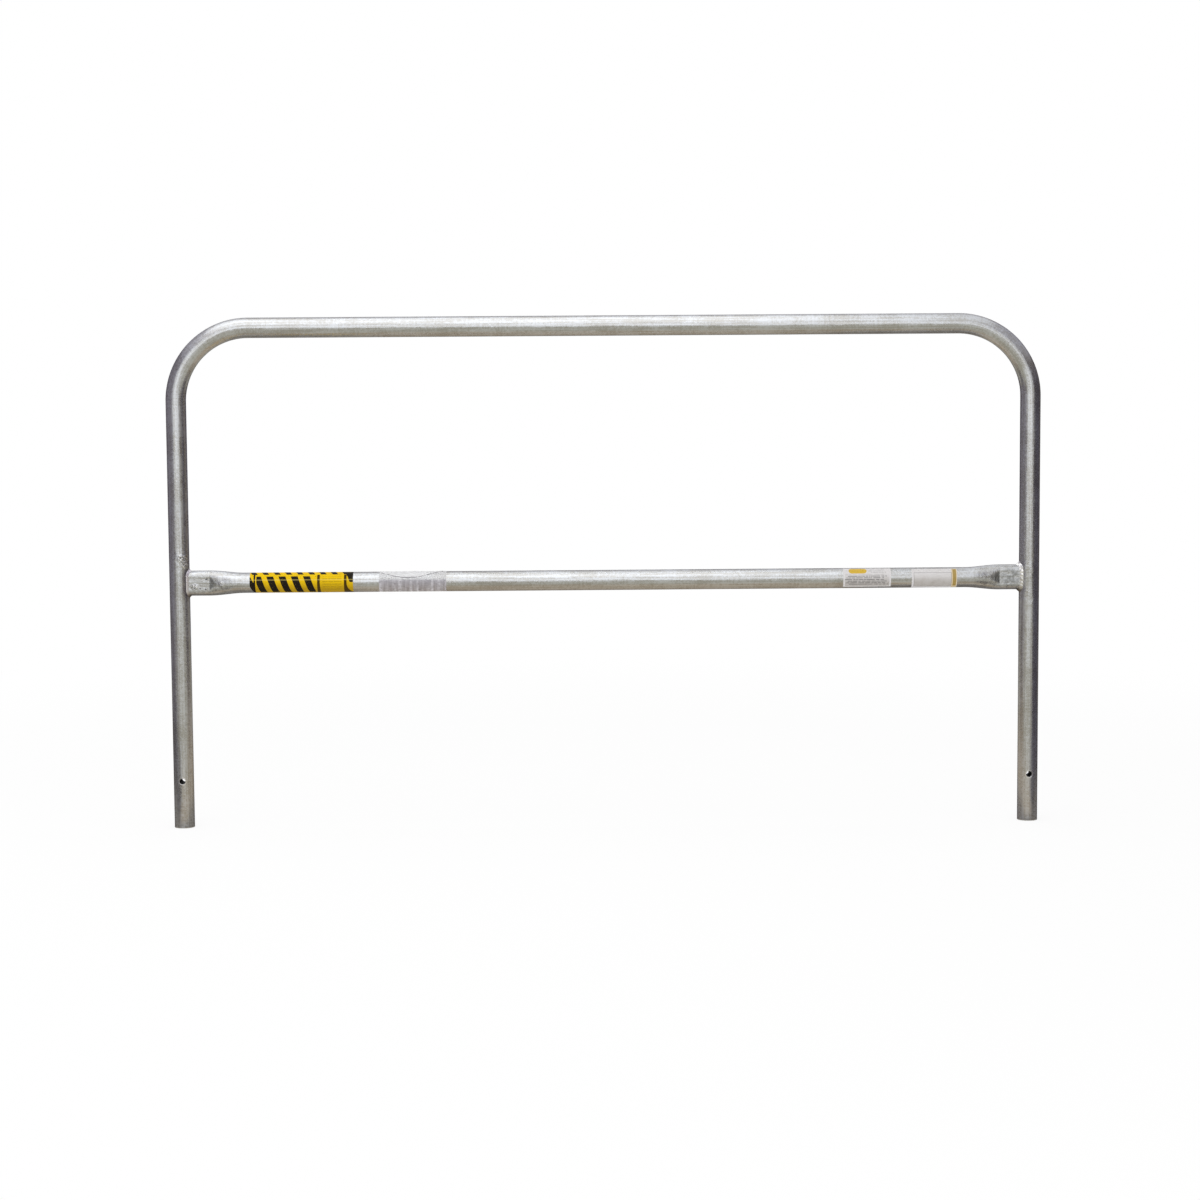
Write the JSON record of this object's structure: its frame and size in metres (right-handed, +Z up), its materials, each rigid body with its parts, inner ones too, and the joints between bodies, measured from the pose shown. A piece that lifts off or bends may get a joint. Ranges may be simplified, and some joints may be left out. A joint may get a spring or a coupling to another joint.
{
  "type": "guardrail section",
  "caption": "Bent-tube guardrail section with a welded, flat-ended mid rail and a cross hole for a pin near each foot.",
  "frame": {"origin": "on the plane of the two feet, midway between the legs and between the front and the back", "axes": "+X along the section to the right, +Y from the front to the back, +Z up from the feet to the top rail"},
  "size_m": [1.829, 0.0424, 1.07],
  "materials": {
    "galvanised_tube": "hot-dip galvanised, dull and mottled, with faint rings round the tube",
    "galvanised_weld": "galvanised weld bead, brighter than the tube",
    "stripe_vinyl": "yellow vinyl label printed with black shapes",
    "clear_film": "clear film label, hazy and wrinkled, with faint grey bars",
    "white_vinyl": "white vinyl label with plain bars and thin lines"
  },
  "bodies": {
    "root": {"frame_tube": "galvanised_tube", "mid_rail": "galvanised_tube", "weld_left": "galvanised_weld", "weld_right": "galvanised_weld", "stripe_label": "stripe_vinyl", "film_label": "clear_film", "ruled_label": "white_vinyl", "plate_label": "white_vinyl"}
  },
  "joints": []
}
